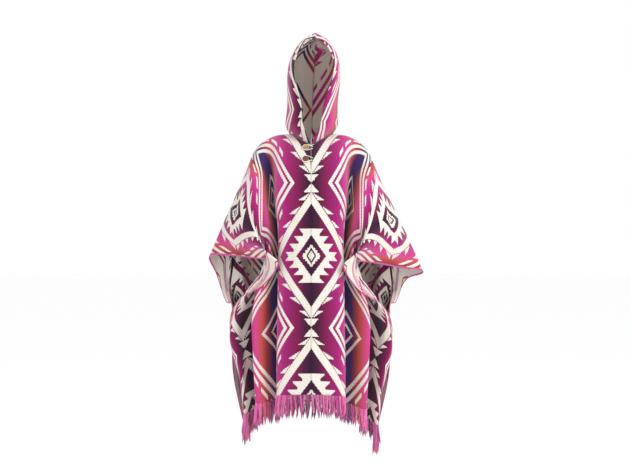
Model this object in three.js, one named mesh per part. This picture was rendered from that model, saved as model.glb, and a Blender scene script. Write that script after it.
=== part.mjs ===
// Hooded poncho of two lengths of patterned blanket cloth, as it hangs when worn.
// Millimetres. Z is up, the front faces -Y. The origin is the middle of the shoulder line at the neck.
import * as THREE from 'three';

// ---- driving sizes ----
const WALL = 2.6;               // cloth thickness
const HALF_WIDTH = 600;         // one length, centre seam to selvage
const HEM = 910;                // middle of the length to either hem
const SEAM_HALF_GAP = 0.3;      // half the gap between two pieces sewn edge to edge
const NECK_HALF = 72;           // half the width of the neck opening
const NECK_BACK = -10;          // where the neck opening starts, along the length
const NECK_WIDEST = 58;
const NECK_POINT = 113;         // foot of the neck's V
const SLIT_END = 180;           // foot of the buttoned slit
const SLIT_HALF_GAP = 1.5;
const HOOD_LIFT = 3.4;          // hood edge above the neck edge of the lengths
const HOOD_LEAN = 15;           // the hood's crown leans to +X by this at its top
const HOOD_TOP = 345;
const FRINGE_LENGTH = 78;
const FRINGE_THICK = 6;
const FRINGE_GAP = 2.2;
const BUTTON_RADIUS = 10;
const BUTTON_THICK = 4;
const BUTTON_HOLE_RADIUS = 1.6;
const BUTTON_HOLE_OFFSET = 3;
const BUTTON_LIFT = 2.4;        // back of a button above the cloth
const LOOP_RADIUS = 1.3;
const LOOP_REACH = 12.5;        // loop's bend, from the button's middle

// Cloth coordinates: u across the cloth from the centre seam, v along it, front hem positive.
const STATIONS = [0, 110, 190, 290, 360, 470, 600];
const STATION_NAMES = ['centre', 'chest', 'fold', 'sleeve', 'side', 'elbow', 'selvage'];
// One row a section across the cloth, back hem to front hem. Each place is outward, Y, Z.
const SECTIONS = [
  { v: -910, centre: [0, 150, -893], chest: [100, 185, -897], fold: [118, 108, -905],
    sleeve: [180, 188, -918], side: [190, 112, -932], elbow: [222, 172, -950], selvage: [226, 62, -975] },
  { v: -680, centre: [0, 146, -668], chest: [102, 178, -672], fold: [128, 106, -684],
    sleeve: [192, 180, -700], side: [204, 106, -720], elbow: [250, 160, -748], selvage: [264, 48, -782] },
  { v: -460, centre: [0, 142, -452], chest: [106, 168, -457], fold: [142, 108, -472],
    sleeve: [208, 168, -500], side: [226, 104, -524], elbow: [270, 140, -550], selvage: [262, -12, -572] },
  { v: -300, centre: [0, 138, -296], chest: [108, 158, -301], fold: [156, 112, -316],
    sleeve: [222, 150, -362], side: [244, 106, -408], elbow: [284, 138, -480], selvage: [292, 122, -552] },
  { v: -150, centre: [0, 118, -152], chest: [108, 126, -155], fold: [172, 94, -176],
    sleeve: [230, 96, -240], side: [258, 88, -292], elbow: [296, 98, -376], selvage: [326, 128, -458] },
  { v: 0, centre: [0, 58, -14], chest: [110, 56, -8], fold: [180, 34, -38],
    sleeve: [221, 22, -124], side: [250, 18, -190], elbow: [294, 20, -287], selvage: [341, 25, -396] },
  { v: 73, centre: [0, -16, 2], chest: [108, -12, 3], fold: [170, -24, -40],
    sleeve: [212, -50, -130], side: [240, -54, -198], elbow: [274, -50, -294], selvage: [272, -4, -396] },
  { v: 170, centre: [0, -106, -92], chest: [106, -86, -90], fold: [134, -20, -106],
    sleeve: [180, -90, -156], side: [214, -96, -216], elbow: [232, -98, -318], selvage: [180, -72, -404] },
  { v: 280, centre: [0, -140, -203], chest: [108, -112, -204], fold: [122, -26, -222],
    sleeve: [152, -104, -258], side: [172, -120, -306], elbow: [160, -146, -366], selvage: [106, -152, -414] },
  { v: 380, centre: [0, -148, -305], chest: [102, -116, -308], fold: [106, -34, -322],
    sleeve: [138, -76, -348], side: [152, -50, -388], elbow: [148, -88, -436], selvage: [153, -102, -488] },
  { v: 460, centre: [0, -150, -388], chest: [100, -118, -392], fold: [107, -36, -404],
    sleeve: [148, -90, -430], side: [168, -38, -466], elbow: [214, -72, -514], selvage: [258, -28, -566] },
  { v: 600, centre: [0, -152, -530], chest: [104, -120, -533], fold: [106, -36, -543],
    sleeve: [188, -86, -566], side: [194, 2, -596], elbow: [264, -50, -640], selvage: [266, 24, -702] },
  { v: 760, centre: [0, -155, -692], chest: [108, -120, -696], fold: [100, -34, -706],
    sleeve: [188, -96, -726], side: [180, -2, -748], elbow: [234, -58, -784], selvage: [234, 38, -836] },
  { v: 910, centre: [0, -158, -848], chest: [110, -122, -855], fold: [96, -36, -868],
    sleeve: [180, -102, -886], side: [168, -8, -898], elbow: [220, -64, -922], selvage: [212, 42, -962] },
];
// Where the worn cloth differs between the sides: right is -X, left is +X.
const SIDES = {
  right: { sign: -1, tipOut: 0, tipDown: 0, hemDown: 0 },
  left: { sign: 1, tipOut: 35, tipDown: 52, hemDown: 42 },
};
const TIP_REACH = 230;          // how far round the sleeve the tip's difference is felt
// One row a section up the hood, neck to crown; row 0 is found from the neck edge.
const HOOD_ROWS = [
  { rim: [30, -80, 45], cheek: [62, -62, 45], side: [86, -6, 45], back: [62, 64, 48], crest: [0, 98, 50] },
  { rim: [38, -90, 112], cheek: [66, -70, 112], side: [83, 0, 115], back: [62, 80, 120], crest: [0, 122, 125] },
  { rim: [64, -104, 198], cheek: [80, -80, 203], side: [87, -4, 206], back: [66, 82, 207], crest: [0, 126, 208] },
  { rim: [62, -106, 256], cheek: [72, -82, 266], side: [75, -10, 272], back: [56, 62, 272], crest: [0, 102, 272] },
  { rim: [34, -104, 306], cheek: [40, -82, 318], side: [42, -18, 322], back: [32, 38, 314], crest: [0, 66, 308] },
  { rim: [0, -102, 328], cheek: [0, -80, 343], side: [0, -28, 345], back: [0, 16, 339], crest: [0, 40, 328] },
];
const HOOD_COLUMNS = ['rim', 'cheek', 'side', 'back', 'crest'];
const BUTTONS = [
  { name: 'button_top', u: 15, v: 122, colour: 0xb98f55 },
  { name: 'button_lower', u: 17, v: 156, colour: 0x7a5236 },
];

// ---- curves and surfaces ----
function clamp01(t) {
  return Math.min(1, Math.max(0, t));
}

function smooth(t) {
  const c = clamp01(t);
  return c * c * (3 - 2 * c);
}

// Smooth curve through points at uneven stations.
function throughStations(stations, points, at) {
  const last = stations.length - 1;
  let k = 0;
  while (k < last - 1 && at > stations[k + 1]) k += 1;
  const span = stations[k + 1] - stations[k];
  const t = (at - stations[k]) / span;
  const slope = (i) => {
    const a = Math.max(0, i - 1);
    const b = Math.min(last, i + 1);
    return points[b].clone().sub(points[a]).divideScalar(stations[b] - stations[a]);
  };
  const t2 = t * t;
  const t3 = t2 * t;
  return points[k].clone().multiplyScalar(2 * t3 - 3 * t2 + 1)
    .addScaledVector(slope(k), (t3 - 2 * t2 + t) * span)
    .addScaledVector(points[k + 1], 3 * t2 - 2 * t3)
    .addScaledVector(slope(k + 1), (t3 - t2) * span);
}

const sectionStations = SECTIONS.map((row) => row.v);
const sectionPoints = SECTIONS.map((row) => STATION_NAMES.map((n) => new THREE.Vector3(...row[n])));

// Middle of the cloth at (u, v) on one side.
function drape(side, u, v) {
  const across = sectionPoints.map((points) => throughStations(STATIONS, points, u));
  const p = throughStations(sectionStations, across, v);
  const outer = smooth((u - STATIONS[1]) / (HALF_WIDTH - STATIONS[1]));
  const tip = outer * (1 - smooth(Math.abs(v) / TIP_REACH));
  const hem = smooth(v / HEM) * smooth(u / HALF_WIDTH);
  p.x += side.tipOut * tip;
  p.z -= side.tipDown * tip + side.hemDown * hem;
  p.x = side.sign * (Math.max(0, p.x) + SEAM_HALF_GAP);
  return p;
}

function neckHalfWidth(v) {
  if (v <= NECK_BACK || v >= NECK_POINT) return 0;
  if (v < NECK_WIDEST) {
    const t = (NECK_WIDEST - v) / (NECK_WIDEST - NECK_BACK);
    return NECK_HALF * Math.sqrt(1 - t * t);
  }
  const t = (v - NECK_WIDEST) / (NECK_POINT - NECK_WIDEST);
  return NECK_HALF * (1 - t) * (1 + 0.5 * t);
}

// Closed wall on a grid of middle points, with the same points moved out and in along the normals.
// No point passes the seam plane of its side, which leans by `lean` at the hood's height.
function wallFromGrid(grid, wall, side, lean, flatEdge) {
  const rows = grid.length;
  const cols = grid[0].length;
  const normals = grid.map((row, j) => row.map((p, i) => {
    const alongRow = row[Math.min(cols - 1, i + 1)].clone().sub(row[Math.max(0, i - 1)]);
    const alongCol = grid[Math.min(rows - 1, j + 1)][i].clone().sub(grid[Math.max(0, j - 1)][i]);
    const n = alongRow.cross(alongCol).normalize();
    if (flatEdge(i, j)) n.setX(0).normalize();
    return n;
  }));
  const positions = [];
  for (const half of [0.5, -0.5]) {
    grid.forEach((row, j) => row.forEach((p, i) => {
      const q = p.clone().addScaledVector(normals[j][i], wall * half);
      const seam = lean * (q.z / HOOD_TOP);
      q.x = seam + side.sign * Math.max(SEAM_HALF_GAP, side.sign * (q.x - seam));
      positions.push(q.x, q.y, q.z);
    }));
  }
  const index = [];
  const outer = (i, j) => j * cols + i;
  const inner = (i, j) => rows * cols + j * cols + i;
  const quad = (a, b, c, d) => index.push(a, b, c, a, c, d);
  for (let j = 0; j < rows - 1; j += 1) {
    for (let i = 0; i < cols - 1; i += 1) {
      quad(outer(i, j), outer(i + 1, j), outer(i + 1, j + 1), outer(i, j + 1));
      quad(inner(i, j), inner(i, j + 1), inner(i + 1, j + 1), inner(i + 1, j));
    }
  }
  for (let i = 0; i < cols - 1; i += 1) {
    quad(outer(i, 0), inner(i, 0), inner(i + 1, 0), outer(i + 1, 0));
    quad(outer(i + 1, rows - 1), inner(i + 1, rows - 1), inner(i, rows - 1), outer(i, rows - 1));
  }
  for (let j = 0; j < rows - 1; j += 1) {
    quad(outer(0, j + 1), inner(0, j + 1), inner(0, j), outer(0, j));
    quad(outer(cols - 1, j), inner(cols - 1, j), inner(cols - 1, j + 1), outer(cols - 1, j + 1));
  }
  const geometry = new THREE.BufferGeometry();
  geometry.setAttribute('position', new THREE.Float32BufferAttribute(positions, 3));
  geometry.setIndex(index);
  return geometry;
}

const group = new THREE.Group();

function addPiece(name, geometry, colour, roughness) {
  geometry.computeVertexNormals();
  const material = new THREE.MeshStandardMaterial({ color: colour, roughness });
  material.name = `${name}_finish`;
  const mesh = new THREE.Mesh(geometry, material);
  mesh.name = name;
  group.add(mesh);
}

// Evenly divided stretches between fixed places, so that every fold line is a line of the mesh.
function divided(places, longest) {
  const out = [places[0]];
  for (let k = 1; k < places.length; k += 1) {
    const steps = Math.max(1, Math.round((places[k] - places[k - 1]) / longest));
    for (let s = 1; s <= steps; s += 1) {
      out.push(places[k - 1] + ((places[k] - places[k - 1]) * s) / steps);
    }
  }
  return out;
}

// ---- lengths of cloth ----
const COLUMN_PITCH = 36;
const ROW_PITCH = 54;
const NECK_ROWS = [0, 28, 52, 84, 100];
const columnPlaces = divided(STATIONS, COLUMN_PITCH);
const rowPlaces = divided([...sectionStations, NECK_BACK, NECK_POINT, SLIT_END, ...NECK_ROWS]
  .filter((v, k, all) => all.indexOf(v) === k).sort((a, b) => a - b), ROW_PITCH);

function inSlit(v) {
  return v >= NECK_POINT && v < SLIT_END;
}

function panelGrid(side) {
  return rowPlaces.map((v) => columnPlaces.map((place) => {
    const start = neckHalfWidth(v);
    const p = drape(side, start + ((HALF_WIDTH - start) * place) / HALF_WIDTH, v);
    if (place === 0 && inSlit(v)) p.x = side.sign * SLIT_HALF_GAP;
    return p;
  }));
}

// Columns run outward; on the -X side they are reversed so that both walls face out.
function faceOut(side, grid) {
  return side.sign < 0 ? grid.map((row) => [...row].reverse()) : grid;
}

function addPanel(name, side, colour) {
  const grid = faceOut(side, panelGrid(side));
  const centreColumn = side.sign < 0 ? columnPlaces.length - 1 : 0;
  const sewn = (i, j) => i === centreColumn && neckHalfWidth(rowPlaces[j]) === 0;
  addPiece(name, wallFromGrid(grid, WALL, side, 0, sewn), colour, 0.95);
}

addPanel('panel_right', SIDES.right, 0x8e1b55);
addPanel('panel_left', SIDES.left, 0x98205c);

// ---- hood ----
const HOOD_STEPS_ROUND = 10;
const HOOD_STEPS_UP = 13;

// The neck edge from the front V (0) round to the back of the neck (1), lifted clear of the lengths.
function neckEdge(side, t) {
  const v = NECK_POINT - (NECK_POINT - NECK_BACK) * smooth(t);
  const p = drape(side, Math.max(0.6, neckHalfWidth(v)), v);
  p.z += HOOD_LIFT;
  return p;
}

function hoodPoint(side, round, up) {
  const columnStations = HOOD_COLUMNS.map((n, k) => k / (HOOD_COLUMNS.length - 1));
  const base = neckEdge(side, round);
  const rows = HOOD_ROWS.map((row) => {
    const points = HOOD_COLUMNS.map((n) => new THREE.Vector3(...row[n]));
    const p = throughStations(columnStations, points, round);
    p.x = side.sign * (Math.max(0, p.x) + SEAM_HALF_GAP) + HOOD_LEAN * (p.z / HOOD_TOP);
    return p;
  });
  const all = [base, ...rows];
  return throughStations(all.map((p, k) => k / (all.length - 1)), all, up);
}

function addHoodHalf(name, side, colour) {
  const grid = [];
  for (let j = 0; j <= HOOD_STEPS_UP; j += 1) {
    const row = [];
    for (let i = 0; i <= HOOD_STEPS_ROUND; i += 1) {
      row.push(hoodPoint(side, i / HOOD_STEPS_ROUND, j / HOOD_STEPS_UP));
    }
    grid.push(row);
  }
  const turned = side.sign > 0 ? grid : grid.map((row) => [...row].reverse());
  const crestColumn = side.sign > 0 ? HOOD_STEPS_ROUND : 0;
  const sewn = (i, j) => i === crestColumn || j === HOOD_STEPS_UP;
  addPiece(name, wallFromGrid(turned, WALL, side, HOOD_LEAN, sewn), colour, 0.95);
}

addHoodHalf('hood_right', SIDES.right, 0x4d143c);
addHoodHalf('hood_left', SIDES.left, 0xb02a78);

// ---- fringe: the plain reach of the twisted warp ends ----
function addFringe(name, side, hem, colour) {
  const top = columnPlaces.map((u) => drape(side, u, hem));
  top.forEach((p) => p.setZ(p.z - FRINGE_GAP));
  const foot = top.map((p) => p.clone().setZ(p.z - FRINGE_LENGTH));
  const rows = hem > 0 ? [top, foot] : [foot, top];
  const grid = faceOut(side, rows);
  const centreColumn = side.sign < 0 ? columnPlaces.length - 1 : 0;
  const sewn = (i) => i === centreColumn;
  addPiece(name, wallFromGrid(grid, FRINGE_THICK, side, 0, sewn), colour, 1);
}

addFringe('fringe_front_right', SIDES.right, HEM, 0xc95a96);
addFringe('fringe_front_left', SIDES.left, HEM, 0xc95a96);
addFringe('fringe_back_right', SIDES.right, -HEM, 0xb84f88);
addFringe('fringe_back_left', SIDES.left, -HEM, 0xb84f88);

// ---- buttons and loops ----
function buttonGeometry() {
  const face = new THREE.Shape().absarc(0, 0, BUTTON_RADIUS, 0, Math.PI * 2, false);
  for (const [x, y] of [[1, 1], [-1, 1], [-1, -1], [1, -1]]) {
    const hole = new THREE.Path();
    hole.absarc(x * BUTTON_HOLE_OFFSET, y * BUTTON_HOLE_OFFSET, BUTTON_HOLE_RADIUS, 0, Math.PI * 2, true);
    face.holes.push(hole);
  }
  return new THREE.ExtrudeGeometry(face, { depth: BUTTON_THICK, bevelEnabled: false, curveSegments: 16 });
}

// The button's own frame: X across, Z straight out from the cloth.
function buttonFrame(u, v) {
  const step = 6;
  const side = SIDES.right;
  const middle = drape(side, u, v);
  const across = drape(side, u - step, v).sub(drape(side, u + step, v)).normalize();
  const down = drape(side, u, v + step).sub(drape(side, u, v - step)).normalize();
  const out = down.clone().cross(across).normalize();
  if (out.y > 0) out.negate();
  const up = out.clone().cross(across).normalize();
  const frame = new THREE.Matrix4().makeBasis(across, up, out);
  frame.setPosition(middle.addScaledVector(out, WALL / 2 + BUTTON_LIFT));
  return frame;
}

for (const button of BUTTONS) {
  const frame = buttonFrame(button.u, button.v);
  const disc = buttonGeometry();
  disc.applyMatrix4(frame);
  addPiece(button.name, disc, button.colour, 0.6);
  const height = BUTTON_THICK / 2;
  const end = button.u + LOOP_REACH * 0.5;
  const turn = new THREE.CatmullRomCurve3([
    new THREE.Vector3(end, LOOP_REACH * 0.35, height),
    new THREE.Vector3(0, LOOP_REACH, height),
    new THREE.Vector3(-LOOP_REACH * 0.75, LOOP_REACH * 0.75, height),
    new THREE.Vector3(-LOOP_REACH, 0, height),
    new THREE.Vector3(-LOOP_REACH * 0.75, -LOOP_REACH * 0.75, height),
    new THREE.Vector3(0, -LOOP_REACH, height),
    new THREE.Vector3(end, -LOOP_REACH * 0.35, height),
  ]);
  const section = new THREE.Shape().absarc(0, 0, LOOP_RADIUS, 0, Math.PI * 2, false);
  const cord = new THREE.ExtrudeGeometry(section, { steps: 28, curveSegments: 4, extrudePath: turn });
  cord.applyMatrix4(frame);
  addPiece(`loop_${button.name.split('_')[1]}`, cord, 0xe9dcc4, 0.9);
}

export default group;
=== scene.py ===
import math
import random

import bmesh
import bpy
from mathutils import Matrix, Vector


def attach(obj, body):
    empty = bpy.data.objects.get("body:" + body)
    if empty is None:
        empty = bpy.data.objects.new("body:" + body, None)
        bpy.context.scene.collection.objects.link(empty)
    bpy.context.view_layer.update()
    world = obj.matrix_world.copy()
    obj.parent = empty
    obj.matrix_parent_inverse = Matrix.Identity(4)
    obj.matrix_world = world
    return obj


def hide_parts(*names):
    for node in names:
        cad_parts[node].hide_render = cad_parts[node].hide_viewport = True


# ---------------------------------------------------------------- frame
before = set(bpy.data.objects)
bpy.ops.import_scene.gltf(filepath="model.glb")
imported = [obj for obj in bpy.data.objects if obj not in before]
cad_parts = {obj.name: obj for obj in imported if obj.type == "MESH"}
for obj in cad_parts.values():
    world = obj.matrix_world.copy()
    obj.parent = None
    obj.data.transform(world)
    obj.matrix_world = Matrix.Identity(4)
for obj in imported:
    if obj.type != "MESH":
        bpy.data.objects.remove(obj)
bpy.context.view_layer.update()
scene = bpy.context.scene

# ---------------------------------------------------------------- sizes, metres
WALL = 0.0026
SLEEVE_TURN = 0.105          # the cloth's middle line lies this far forward on the sleeves
HALF_WIDTH = 0.6
HEM = 0.91
SEAM_HALF_GAP = 0.0003
NECK_HALF = 0.072
NECK_BACK = -0.010
NECK_WIDEST = 0.058
NECK_POINT = 0.113
SLIT_END = 0.18
SLIT_HALF_GAP = 0.0015
HOOD_LIFT = 0.0034
HOOD_LEAN = 0.015
HOOD_TOP = 0.345
TIP_REACH = 0.23
PANEL_CELLS = (92, 224)
HOOD_CELLS = (44, 60)
FRINGE_LENGTH = 0.076
STRAND_PITCH = 0.0056
STRAND_RADIUS = 0.0035
STRAND_CELLS = (6, 6)           # round, along
STRAND_ROOT = 0.003             # the strand starts this far up in the hem
STRAND_SHORTEST = 0.84          # shortest strand, as a share of the longest
STRAND_SWAY = (0.011, 0.009)    # most a foot swings, across and fore and aft
STRAND_TAPER = 0.35
STRAND_CROWD = 1.6              # rings crowd towards the root
PLY_DEPTH = 0.32                # groove between the two plies, as a share of the radius
PLY_TWIST = 9                   # radians of twist along a strand
SLEEVE_TURN_STARTS = 0.12       # across the cloth
SLEEVE_TURN_GROWS = 0.25
SLEEVE_TURN_REACH = 0.5         # along the cloth
HOOD_CUT = (0.26, 0.40)
HOOD_STARTS = {"right": (0.0, 0.12), "left": (0.06, 0.16)}   # where each half lies on the repeat
MM = 0.001

# Cloth places, millimetres: outward, Y, Z. One row a section, back hem to front hem.
STATIONS = [0, 110, 190, 290, 360, 470, 600]
SECTIONS = [
    # v, centre, chest, fold, sleeve, side, elbow, selvage
    (-910, (0, 150, -893), (100, 185, -897), (118, 108, -905), (180, 188, -918),
     (190, 112, -932), (222, 172, -950), (226, 62, -975)),
    (-680, (0, 146, -668), (102, 178, -672), (128, 106, -684), (192, 180, -700),
     (204, 106, -720), (250, 160, -748), (264, 48, -782)),
    (-460, (0, 142, -452), (106, 168, -457), (142, 108, -472), (208, 168, -500),
     (226, 104, -524), (270, 140, -550), (262, -12, -572)),
    (-300, (0, 138, -296), (108, 158, -301), (156, 112, -316), (222, 150, -362),
     (244, 106, -408), (284, 138, -480), (292, 122, -552)),
    (-150, (0, 118, -152), (108, 126, -155), (172, 94, -176), (230, 96, -240),
     (258, 88, -292), (296, 98, -376), (326, 128, -458)),
    (0, (0, 58, -14), (110, 56, -8), (180, 34, -38), (221, 22, -124),
     (250, 18, -190), (294, 20, -287), (341, 25, -396)),
    (73, (0, -16, 2), (108, -12, 3), (170, -24, -40), (212, -50, -130),
     (240, -54, -198), (274, -50, -294), (272, -4, -396)),
    (170, (0, -106, -92), (106, -86, -90), (134, -20, -106), (180, -90, -156),
     (214, -96, -216), (232, -98, -318), (180, -72, -404)),
    (280, (0, -140, -203), (108, -112, -204), (122, -26, -222), (152, -104, -258),
     (172, -120, -306), (160, -146, -366), (106, -152, -414)),
    (380, (0, -148, -305), (102, -116, -308), (106, -34, -322), (138, -76, -348),
     (152, -50, -388), (148, -88, -436), (153, -102, -488)),
    (460, (0, -150, -388), (100, -118, -392), (107, -36, -404), (148, -90, -430),
     (168, -38, -466), (214, -72, -514), (258, -28, -566)),
    (600, (0, -152, -530), (104, -120, -533), (106, -36, -543), (188, -86, -566),
     (194, 2, -596), (264, -50, -640), (266, 24, -702)),
    (760, (0, -155, -692), (108, -120, -696), (100, -34, -706), (188, -96, -726),
     (180, -2, -748), (234, -58, -784), (234, 38, -836)),
    (910, (0, -158, -848), (110, -122, -855), (96, -36, -868), (180, -102, -886),
     (168, -8, -898), (220, -64, -922), (212, 42, -962)),
]
SIDES = {
    "right": {"sign": -1, "tip_out": 0.0, "tip_down": 0.0, "hem_down": 0.0},
    "left": {"sign": 1, "tip_out": 0.035, "tip_down": 0.052, "hem_down": 0.042},
}
HOOD_ROWS = [
    # rim, cheek, side, back, crest
    ((30, -80, 45), (62, -62, 45), (86, -6, 45), (62, 64, 48), (0, 98, 50)),
    ((38, -90, 112), (66, -70, 112), (83, 0, 115), (62, 80, 120), (0, 122, 125)),
    ((64, -104, 198), (80, -80, 203), (87, -4, 206), (66, 82, 207), (0, 126, 208)),
    ((62, -106, 256), (72, -82, 266), (75, -10, 272), (56, 62, 272), (0, 102, 272)),
    ((34, -104, 306), (40, -82, 318), (42, -18, 322), (32, 38, 314), (0, 66, 308)),
    ((0, -102, 328), (0, -80, 343), (0, -28, 345), (0, 16, 339), (0, 40, 328)),
]
# Soft creases: side, place (u, v), turn from along the cloth in degrees, length, width, depth.
CREASES = [
    ("right", 0.045, 0.52, 4, 0.30, 0.012, 0.0040),
    ("right", 0.075, 0.30, -10, 0.16, 0.014, -0.0045),
    ("right", 0.300, 0.16, 40, 0.12, 0.013, 0.0050),
    ("right", 0.420, 0.10, 62, 0.14, 0.014, -0.0055),
    ("right", 0.520, 0.14, 70, 0.12, 0.012, 0.0045),
    ("right", 0.240, 0.66, -6, 0.28, 0.016, 0.0050),
    ("right", 0.420, 0.72, 5, 0.22, 0.018, -0.0060),
    ("left", 0.055, 0.60, -5, 0.34, 0.013, 0.0042),
    ("left", 0.085, 0.36, 8, 0.15, 0.013, -0.0040),
    ("left", 0.320, 0.14, 46, 0.13, 0.014, 0.0052),
    ("left", 0.450, 0.12, 66, 0.15, 0.014, -0.0060),
    ("left", 0.540, 0.08, 80, 0.11, 0.012, 0.0046),
    ("left", 0.230, 0.78, 4, 0.24, 0.015, -0.0048),
    ("left", 0.430, 0.66, -8, 0.20, 0.017, 0.0056),
    ("right", 0.050, -0.34, 6, 0.30, 0.018, -0.0050),
    ("right", 0.360, -0.22, -38, 0.20, 0.018, 0.0060),
    ("right", 0.200, -0.70, 3, 0.24, 0.018, 0.0056),
    ("left", 0.070, -0.46, -5, 0.32, 0.018, 0.0050),
    ("left", 0.400, -0.18, -44, 0.18, 0.017, -0.0058),
    ("left", 0.240, -0.64, 5, 0.26, 0.018, -0.0056),
]


# ---------------------------------------------------------------- shape of the cloth
def smooth(t):
    t = min(1.0, max(0.0, t))
    return t * t * (3 - 2 * t)


def through_stations(stations, points, at):
    """Smooth curve through points at uneven stations."""
    last = len(stations) - 1
    k = 0
    while k < last - 1 and at > stations[k + 1]:
        k += 1
    span = stations[k + 1] - stations[k]
    t = (at - stations[k]) / span

    def slope(i):
        a, b = max(0, i - 1), min(last, i + 1)
        return (points[b] - points[a]) / (stations[b] - stations[a])

    t2, t3 = t * t, t * t * t
    return (points[k] * (2 * t3 - 3 * t2 + 1) + slope(k) * ((t3 - 2 * t2 + t) * span)
            + points[k + 1] * (3 * t2 - 2 * t3) + slope(k + 1) * ((t3 - t2) * span))


STATION_M = [u * MM for u in STATIONS]
SECTION_V = [row[0] * MM for row in SECTIONS]
SECTION_POINTS = [[Vector(p) * MM for p in row[1:]] for row in SECTIONS]


def drape(side, u, v):
    """Middle of the cloth at u across and v along it."""
    across = [through_stations(STATION_M, points, u) for points in SECTION_POINTS]
    p = through_stations(SECTION_V, across, v)
    outer = smooth((u - STATION_M[1]) / (HALF_WIDTH - STATION_M[1]))
    tip = outer * (1 - smooth(abs(v) / TIP_REACH))
    hem = smooth(v / HEM) * smooth(u / HALF_WIDTH)
    p.x += side["tip_out"] * tip
    p.z -= side["tip_down"] * tip + side["hem_down"] * hem
    p.x = side["sign"] * (max(0.0, p.x) + SEAM_HALF_GAP)
    return p


def neck_half_width(v):
    if v <= NECK_BACK or v >= NECK_POINT:
        return 0.0
    if v < NECK_WIDEST:
        t = (NECK_WIDEST - v) / (NECK_WIDEST - NECK_BACK)
        return NECK_HALF * math.sqrt(1 - t * t)
    t = (v - NECK_WIDEST) / (NECK_POINT - NECK_WIDEST)
    return NECK_HALF * (1 - t) * (1 + 0.5 * t)


def crease_height(name, u, v):
    height = 0.0
    for side, cu, cv, turn, length, width, depth in CREASES:
        if side != name:
            continue
        angle = math.radians(turn)
        du, dv = u - cu, v - cv
        along = du * math.sin(angle) + dv * math.cos(angle)
        over = du * math.cos(angle) - dv * math.sin(angle)
        height += depth * math.exp(-((over / width) ** 2) - (2 * along / length) ** 4)
    return height


# ---------------------------------------------------------------- making sheets
def sheet_piece(name, cells, place, paint, height, keep_side, turned, lean=0.0):
    """A grid moved to its shape. place gives a point for (s, t), paint its cloth coordinates."""
    bm = bmesh.new()
    bmesh.ops.create_grid(bm, x_segments=cells[0], y_segments=cells[1], size=0.5)
    bm.verts.index_update()
    where = {vert.index: (vert.co.x + 0.5, vert.co.y + 0.5) for vert in bm.verts}
    for vert in bm.verts:
        vert.co = place(*where[vert.index])
    if turned:
        bmesh.ops.reverse_faces(bm, faces=bm.faces)
    bm.normal_update()
    if height:
        moves = [(vert, vert.normal * height(*where[vert.index])) for vert in bm.verts]
        for vert, move in moves:
            vert.co += move
    for vert in bm.verts:
        seam = lean * (vert.co.z / HOOD_TOP)
        vert.co.x = seam + keep_side * max(SEAM_HALF_GAP, keep_side * (vert.co.x - seam))
    layer = bm.loops.layers.uv.new("cloth")
    for face in bm.faces:
        face.smooth = True
        for loop in face.loops:
            loop[layer].uv = paint(*where[loop.vert.index])
    mesh = bpy.data.meshes.new(name)
    bm.to_mesh(mesh)
    bm.free()
    piece = bpy.data.objects.new(name, mesh)
    scene.collection.objects.link(piece)
    return piece


def thicken(piece, outside, inside):
    piece.data.materials.append(outside)
    piece.data.materials.append(inside)
    wall = piece.modifiers.new("wall", "SOLIDIFY")
    wall.thickness = WALL
    wall.offset = 0.0
    wall.material_offset = 1
    wall.material_offset_rim = 0


def make_panel(name, side_name):
    side = SIDES[side_name]

    def cloth(s, t):
        v = -HEM + 2 * HEM * t
        start = neck_half_width(v)
        return start + (HALF_WIDTH - start) * s, v

    def place(s, t):
        u, v = cloth(s, t)
        p = drape(side, u, v)
        if s < 1e-6 and NECK_POINT <= v < SLIT_END:
            p.x = side["sign"] * SLIT_HALF_GAP
        return p

    def paint(s, t):
        u, v = cloth(s, t)
        turned = smooth((u - SLEEVE_TURN_STARTS) / SLEEVE_TURN_GROWS)
        near = 1 - smooth(abs(v - SLEEVE_TURN) / SLEEVE_TURN_REACH)
        return side["sign"] * u, v - SLEEVE_TURN * turned * near

    def height(s, t):
        u, v = cloth(s, t)
        return crease_height(side_name, u, v) * smooth(u / 0.03)

    return sheet_piece(name, PANEL_CELLS, place, paint, height, side["sign"], side["sign"] > 0)


def neck_edge(side, t):
    """Neck edge from the front V (0) to the back of the neck (1), clear of the panels."""
    v = NECK_POINT - (NECK_POINT - NECK_BACK) * smooth(t)
    p = drape(side, max(0.0006, neck_half_width(v)), v)
    p.z += HOOD_LIFT
    return p


def hood_point(side, around, up):
    stations = [k / 4 for k in range(5)]
    points = [neck_edge(side, around)]
    for row in HOOD_ROWS:
        p = through_stations(stations, [Vector(q) * MM for q in row], around)
        p.x = side["sign"] * (max(0.0, p.x) + SEAM_HALF_GAP) + HOOD_LEAN * (p.z / HOOD_TOP)
        points.append(p)
    return through_stations([k / (len(points) - 1) for k in range(len(points))], points, up)


def make_hood_half(name, side_name, first_u, first_v):
    side = SIDES[side_name]

    def paint(s, t):
        return side["sign"] * (first_u + HOOD_CUT[0] * s), first_v + HOOD_CUT[1] * t

    def place(s, t):
        return hood_point(side, s, t)

    return sheet_piece(name, HOOD_CELLS, place, paint, None, side["sign"], side["sign"] < 0, HOOD_LEAN)


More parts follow.
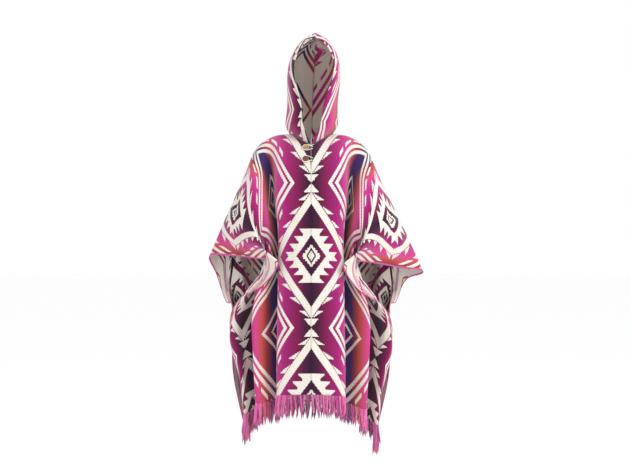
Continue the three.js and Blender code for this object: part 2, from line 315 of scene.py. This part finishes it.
def make_fringe(name, side_name, hem):
    """Twisted warp ends, joined in one piece, each a tube of a few faces closed at both ends."""
    side = SIDES[side_name]
    rng = random.Random(name)
    bm = bmesh.new()
    layer = bm.loops.layers.uv.new("cloth")
    count = int(HALF_WIDTH / STRAND_PITCH)
    for k in range(count):
        u = (k + 0.5) * HALF_WIDTH / count
        top = drape(side, u, hem)
        top.z += STRAND_ROOT
        reach = FRINGE_LENGTH * rng.uniform(STRAND_SHORTEST, 1.0)
        swing = Vector([rng.uniform(-most, most) for most in STRAND_SWAY] + [0])
        turn = rng.uniform(0, math.tau)
        shade = rng.random()
        round_cells, long_cells = STRAND_CELLS
        made = bmesh.ops.create_grid(bm, x_segments=round_cells, y_segments=long_cells, size=0.5)
        for vert in made["verts"]:
            around, down = math.tau * (vert.co.x + 0.5), 0.5 - vert.co.y
            ply = 1 + PLY_DEPTH * math.cos(2 * (around - turn - down * PLY_TWIST))
            full = 1 - STRAND_TAPER * down
            closed = down < 1e-6 or down > 1 - 1e-6
            radius = 0.0 if closed else STRAND_RADIUS * ply * full
            drop = reach * down ** STRAND_CROWD
            sway = swing * (down * down)
            ring = Vector((radius * math.cos(around), radius * math.sin(around), -drop))
            vert.co = top + sway + ring
        faces = {face for vert in made["verts"] for face in vert.link_faces}
        for face in faces:
            face.smooth = True
            for loop in face.loops:
                loop[layer].uv = (side["sign"] * u, shade)
    bmesh.ops.remove_doubles(bm, verts=bm.verts, dist=1e-6)
    bmesh.ops.recalc_face_normals(bm, faces=bm.faces)
    mesh = bpy.data.meshes.new(name)
    bm.to_mesh(mesh)
    bm.free()
    piece = bpy.data.objects.new(name, mesh)
    scene.collection.objects.link(piece)
    return piece


# ---------------------------------------------------------------- pattern, in node maths
class Field:
    """A number that varies over the cloth, built up as maths nodes in one tree."""

    def __init__(self, tree, socket):
        self.tree, self.socket = tree, socket

    def maths(self, operation, *others):
        node = self.tree.nodes.new("ShaderNodeMath")
        node.operation = operation
        for slot, value in zip(node.inputs, (self, *others)):
            if isinstance(value, Field):
                self.tree.links.new(value.socket, slot)
            else:
                slot.default_value = value
        return Field(self.tree, node.outputs[0])

    def __add__(self, other):
        return self.maths("ADD", other)

    def __sub__(self, other):
        return self.maths("SUBTRACT", other)

    def __mul__(self, other):
        return self.maths("MULTIPLY", other)

    def __or__(self, other):
        return self.maths("MAXIMUM", other)

    def below(self, limit):
        return self.maths("LESS_THAN", limit)

    def above(self, limit):
        return self.maths("GREATER_THAN", limit)

    def between(self, low, high):
        return self.above(low) * self.below(high)

    def flipped(self):
        return self * -1 + 1


# The repeat, in millimetres: the spacings of its medallions, then each figure's sizes.
ACROSS, ALONG = 414.585, 464.535
WEAVE_STEP = 2.331              # edges of figures step by this
SLOPE = 1.5                     # every diamond's side, along over across
BAND = (165.2, 203.1)
TOOTH_OFFSET, TOOTH_PITCH, TOOTH_START, TOOTH_LENGTH = 9.16, 23.81, 0.3, 14.65
BIG_WIDTH, BIG_STEP, BIG_HALF = 72.6, 15.65, 85.9
DARK_DIAMOND = (48.3, 65.9)     # half width, half height
RING_SLOPE, RING_WIDTH = 0.885, 28.6
SMALL_TOOTH_PITCH, SMALL_TOOTH_LENGTH = 8.66, 5.66
RING_INSIDE, CORE = (16.65, 25.6), (10.66, 16.65)
TRIANGLE_PITCH, TRIANGLE_LENGTH, TRIANGLE_SHARE = 43.6, 35.0, 0.6
TRIANGLE_GAP, TRIANGLE_EDGE, TRIANGLE_REACH = 3.0, 1.33, 266.4
AXIS_TRIANGLE_TIP, AXIS_TRIANGLE_SLOPE = 229.8, 0.875
OUTER_LINES = ((143.5, 155.8), (121.5, 133.9))
NESTED_LINES = ((42.6, 51.9), (16.3, 24.0))
BARS, BAR_PITCH, BAR_GAP, BAR_REACH = (276.4, 291.4), 29.97, 0.28, 113.2
WARP_COLOURS = [
    # millimetres off the medallion column, colour
    (0, (0.024, 0.004, 0.024)), (20, (0.065, 0.005, 0.038)), (43.3, (0.19, 0.007, 0.070)),
    (79.9, (0.33, 0.010, 0.150)), (119.9, (0.55, 0.040, 0.245)), (139.9, (0.60, 0.060, 0.22)),
    (156.5, (0.50, 0.075, 0.060)), (173.2, (0.30, 0.035, 0.050)), (186.5, (0.050, 0.024, 0.13)),
]
CREAM = (0.80, 0.745, 0.67)


def colour_input(group, name, colour):
    socket = group.interface.new_socket(name, in_out="INPUT", socket_type="NodeSocketColor")
    socket.default_value = (*colour, 1)


def blanket_group():
    """Puts out the cream figures as a mask, and the colour of the warp."""
    group = bpy.data.node_groups.new("woven blanket figures", "ShaderNodeTree")
    for name in ("Across", "Along"):
        group.interface.new_socket(name, in_out="INPUT", socket_type="NodeSocketFloat")
    group.interface.new_socket("Figure", in_out="OUTPUT", socket_type="NodeSocketFloat")
    group.interface.new_socket("Warp", in_out="OUTPUT", socket_type="NodeSocketColor")
    begin, end = group.nodes.new("NodeGroupInput"), group.nodes.new("NodeGroupOutput")

    def off_column(socket, spacing):
        place = (Field(group, socket) * (1 / MM)).maths("SNAP", WEAVE_STEP)
        return place.maths("PINGPONG", spacing / 2)

    du = off_column(begin.outputs["Across"], ACROSS)
    dv = off_column(begin.outputs["Along"], ALONG)
    reach = dv + du * SLOPE
    band = reach.between(*BAND)
    # big serrated diamond
    steps = (dv + TOOTH_OFFSET) * (1 / TOOTH_PITCH)
    tooth_rise = TOOTH_LENGTH / (1 - TOOTH_START)
    tooth = ((steps.maths("FRACT") - TOOTH_START) * tooth_rise).maths("MAXIMUM", 0)
    width = steps.maths("FLOOR") * -BIG_STEP + BIG_WIDTH + tooth
    big = (du - width).below(0) * dv.below(BIG_HALF)
    dark = (du * (1 / DARK_DIAMOND[0]) + dv * (1 / DARK_DIAMOND[1])).above(1)
    small_tooth = (dv * (1 / SMALL_TOOTH_PITCH)).maths("FRACT") * SMALL_TOOTH_LENGTH
    ring = (du + dv * RING_SLOPE - small_tooth).below(RING_WIDTH)
    ring_inside = (du * (1 / RING_INSIDE[0]) + dv * (1 / RING_INSIDE[1])).above(1)
    core = (du * (1 / CORE[0]) + dv * (1 / CORE[1])).below(1)
    medallion = big * dark | ring * ring_inside | core
    # triangles outside the band, and the ones on the axis
    below_apex = dv * -1 + BAND[1]
    beyond = du - below_apex * (1 / SLOPE)
    run = (below_apex * (1 / TRIANGLE_PITCH)).maths("FRACT")
    clear_of_band = beyond.above(TRIANGLE_GAP)
    inside_edge = (beyond - run * TRIANGLE_LENGTH).below(TRIANGLE_EDGE)
    triangles = clear_of_band * inside_edge * run.below(TRIANGLE_SHARE) * reach.below(TRIANGLE_REACH)
    axis_edge = (dv * -1 + AXIS_TRIANGLE_TIP) * AXIS_TRIANGLE_SLOPE
    on_axis = dv.above(BAND[1]) * (du - axis_edge).below(0)
    # line diamonds between the medallions
    eu, ev = du * -1 + ACROSS / 2, dv * -1 + ALONG / 2
    depth = eu + ev * (1 / SLOPE)
    lines = depth.between(*OUTER_LINES[0]) | depth.between(*OUTER_LINES[1])
    nested = depth.between(*NESTED_LINES[0]) | depth.between(*NESTED_LINES[1])
    bar_lengths = (eu * (1 / BAR_PITCH)).maths("FRACT").above(BAR_GAP)
    bars = reach.between(*BARS) * bar_lengths * eu.below(BAR_REACH)
    figure = band | medallion | triangles | on_axis | lines | nested | bars
    group.links.new(figure.socket, end.inputs["Figure"])

    ramp = group.nodes.new("ShaderNodeValToRGB")
    ramp.color_ramp.interpolation = "LINEAR"
    elements = ramp.color_ramp.elements
    elements.remove(elements[1])
    for k, (start, colour) in enumerate(WARP_COLOURS):
        element = elements[0] if k == 0 else elements.new(start / (ACROSS / 2))
        element.color = (*colour, 1)
    group.links.new((du * (2 / ACROSS)).socket, ramp.inputs["Fac"])
    group.links.new(ramp.outputs["Color"], end.inputs["Warp"])
    return group


def rib_group():
    """Fine warp ribs and a brushed nap: a height, and a painted shade near one that darkens the colour
    where the ribs and nap lie low and dims the whole cloth.
    """
    group = bpy.data.node_groups.new("ribbed nap", "ShaderNodeTree")
    group.interface.new_socket("Cloth", in_out="INPUT", socket_type="NodeSocketVector")
    group.interface.new_socket("Height", in_out="OUTPUT", socket_type="NodeSocketFloat")
    group.interface.new_socket("Painted shade", in_out="OUTPUT", socket_type="NodeSocketFloat")
    begin, end = group.nodes.new("NodeGroupInput"), group.nodes.new("NodeGroupOutput")
    split = group.nodes.new("ShaderNodeSeparateXYZ")
    group.links.new(begin.outputs["Cloth"], split.inputs[0])
    ribs = (Field(group, split.outputs["X"]) * (math.tau / 0.0042)).maths("SINE")
    picks = (Field(group, split.outputs["Y"]) * (math.tau / 0.0030)).maths("SINE")
    nap = group.nodes.new("ShaderNodeTexNoise")
    nap.inputs["Scale"].default_value = 420
    nap.inputs["Detail"].default_value = 3
    group.links.new(begin.outputs["Cloth"], nap.inputs["Vector"])
    fuzz = Field(group, nap.outputs["Fac"])
    group.links.new((ribs * 0.5 + picks * 0.2 + fuzz * 1.2).socket, end.inputs["Height"])
    # painted shade: the same ribs, picks and nap noise as the height, so the colour is darker in the
    # grooves and hollows; the 0.70 base is painted shade that dims the whole cloth
    group.links.new((ribs * 0.05 + picks * 0.03 + fuzz * 0.40 + 0.70).socket, end.inputs["Painted shade"])
    return group


BLANKET, RIBS = blanket_group(), rib_group()


def new_material(name, roughness, sheen):
    material = bpy.data.materials.new(name)
    material.use_nodes = True
    shader = material.node_tree.nodes["Principled BSDF"]
    shader.inputs["Roughness"].default_value = roughness
    shader.inputs["Sheen Weight"].default_value = sheen
    shader.inputs["Specular IOR Level"].default_value = 0.2
    return material, material.node_tree, shader


def mix_colour(tree, factor, a, b, blend="MIX"):
    mix = tree.nodes.new("ShaderNodeMix")
    mix.data_type, mix.blend_type = "RGBA", blend
    sockets = [s for s in mix.inputs if s.type == "RGBA"]
    for slot, value in zip((mix.inputs[0], *sockets), (factor, a, b)):
        if isinstance(value, bpy.types.NodeSocket):
            tree.links.new(value, slot)
        elif isinstance(value, tuple):
            slot.default_value = (*value, 1)
        else:
            slot.default_value = value
    return next(s for s in mix.outputs if s.type == "RGBA")


def place_group(tree, group):
    node = tree.nodes.new("ShaderNodeGroup")
    node.node_tree = group
    return node


def cloth_material(name, inverted):
    material, tree, shader = new_material(name, 0.95, 0.25)
    uv = tree.nodes.new("ShaderNodeUVMap")
    uv.uv_map = "cloth"
    split = tree.nodes.new("ShaderNodeSeparateXYZ")
    tree.links.new(uv.outputs[0], split.inputs[0])
    figures, nap = place_group(tree, BLANKET), place_group(tree, RIBS)
    tree.links.new(split.outputs["X"], figures.inputs["Across"])
    tree.links.new(split.outputs["Y"], figures.inputs["Along"])
    tree.links.new(uv.outputs[0], nap.inputs["Cloth"])
    mask = Field(tree, figures.outputs["Figure"])
    if inverted:
        mask = mask.flipped()
    selvage = Field(tree, split.outputs["X"]).maths("ABSOLUTE")
    woven = mix_colour(tree, mask.socket, figures.outputs["Warp"], CREAM)
    edged = mix_colour(tree, selvage.between(0.592, 0.601).socket, woven, (0.66, 0.10, 0.32))
    # multiplies the painted shade of the ribs and nap into the woven colour
    painted_shade_colour = mix_colour(tree, 1.0, edged, nap.outputs["Painted shade"], "MULTIPLY")
    tree.links.new(painted_shade_colour, shader.inputs["Base Color"])
    bump = tree.nodes.new("ShaderNodeBump")
    bump.inputs["Strength"].default_value = 0.35
    bump.inputs["Distance"].default_value = 0.0008
    tree.links.new(nap.outputs["Height"], bump.inputs["Height"])
    tree.links.new(bump.outputs[0], shader.inputs["Normal"])
    return material


def fringe_material():
    material, tree, shader = new_material("fringe yarn", 0.95, 0.3)
    uv = tree.nodes.new("ShaderNodeUVMap")
    uv.uv_map = "cloth"
    split = tree.nodes.new("ShaderNodeSeparateXYZ")
    tree.links.new(uv.outputs[0], split.inputs[0])
    figures = place_group(tree, BLANKET)
    tree.links.new(split.outputs["X"], figures.inputs["Across"])
    paler = Field(tree, split.outputs["Y"]) * 0.7 + 0.12
    yarn = mix_colour(tree, paler.socket, figures.outputs["Warp"], (0.80, 0.21, 0.47))
    tree.links.new(yarn, shader.inputs["Base Color"])
    return material


def wood_material(name, light, dark):
    material, tree, shader = new_material(name, 0.5, 0.0)
    coords, grain = tree.nodes.new("ShaderNodeTexCoord"), tree.nodes.new("ShaderNodeTexNoise")
    grain.inputs["Scale"].default_value = 160
    tree.links.new(coords.outputs["Object"], grain.inputs["Vector"])
    tree.links.new(mix_colour(tree, grain.outputs["Fac"], light, dark), shader.inputs["Base Color"])
    return material


# ---------------------------------------------------------------- pieces
outside, inside = cloth_material("blanket face", False), cloth_material("blanket reverse", True)
yarn = fringe_material()

for side_name in SIDES:
    panel = make_panel(f"cloth_panel_{side_name}", side_name)
    thicken(panel, outside, inside)
    for where, hem in (("front", HEM), ("back", -HEM)):
        fringe = make_fringe(f"cloth_fringe_{where}_{side_name}", side_name, hem)
        fringe.data.materials.append(yarn)
        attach(fringe, "root")
        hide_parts(f"fringe_{where}_{side_name}")
    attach(panel, "root")
    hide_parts(f"panel_{side_name}")

for side_name, start in HOOD_STARTS.items():
    hood = make_hood_half(f"cloth_hood_{side_name}", side_name, *start)
    thicken(hood, outside, inside)
    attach(hood, "root")
    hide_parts(f"hood_{side_name}")

finishes = {
    "button_top": wood_material("pale button wood", (0.55, 0.36, 0.15), (0.36, 0.2, 0.07)),
    "button_lower": wood_material("brown button wood", (0.24, 0.12, 0.055), (0.11, 0.05, 0.025)),
}
cord = new_material("loop cord", 0.9, 0.2)[0]
cord.node_tree.nodes["Principled BSDF"].inputs["Base Color"].default_value = (*CREAM, 1)
finishes["loop_top"] = finishes["loop_lower"] = cord
for node, material in finishes.items():
    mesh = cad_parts[node].data
    for k in range(len(mesh.materials)):
        mesh.materials[k] = material

# ---------------------------------------------------------------- floor, light and camera
FLOOR_Z = -1.32
FLOOR_HALF = 40
LIGHTS = [
    # name, place, size, watts
    ("key", (2.4, -2.6, 1.8), 1.2, 74),
    ("fill", (-2.8, -2.6, 0.6), 2.4, 5),
]
bm = bmesh.new()
bmesh.ops.create_grid(bm, x_segments=1, y_segments=1, size=FLOOR_HALF)
bmesh.ops.translate(bm, verts=bm.verts, vec=(0, 0, FLOOR_Z))
floor_mesh = bpy.data.meshes.new("floor")
bm.to_mesh(floor_mesh)
bm.free()
floor = bpy.data.objects.new("floor", floor_mesh)
scene.collection.objects.link(floor)
pale, _, pale_shader = new_material("pale floor", 0.9, 0.0)
pale_shader.inputs["Base Color"].default_value = (0.985, 0.985, 0.985, 1)
floor_mesh.materials.append(pale)

world = bpy.data.worlds.new("studio")
scene.world = world
world.use_nodes = True
world.node_tree.nodes["Background"].inputs["Color"].default_value = (1, 1, 1, 1)
world.node_tree.nodes["Background"].inputs["Strength"].default_value = 1.0
scene.view_settings.view_transform = "Standard"

AIM = Vector((0.0133, -0.05, -0.326))
for name, place, size, watts in LIGHTS:
    light = bpy.data.lights.new(name, "AREA")
    light.size, light.energy = size, watts
    lamp = bpy.data.objects.new(name, light)
    lamp.location = place
    lamp.rotation_euler = (AIM - lamp.location).to_track_quat("-Z", "Y").to_euler()
    scene.collection.objects.link(lamp)

CAMERA_DISTANCE = 6.0
VIEW_WIDTH = 2.098
camera_data = bpy.data.cameras.new("camera")
camera_data.lens = camera_data.sensor_width * CAMERA_DISTANCE / VIEW_WIDTH
camera = bpy.data.objects.new("camera", camera_data)
camera.location = AIM + Vector((0, -CAMERA_DISTANCE, 0))
camera.rotation_euler = (math.radians(90), 0, 0)
scene.collection.objects.link(camera)
scene.camera = camera
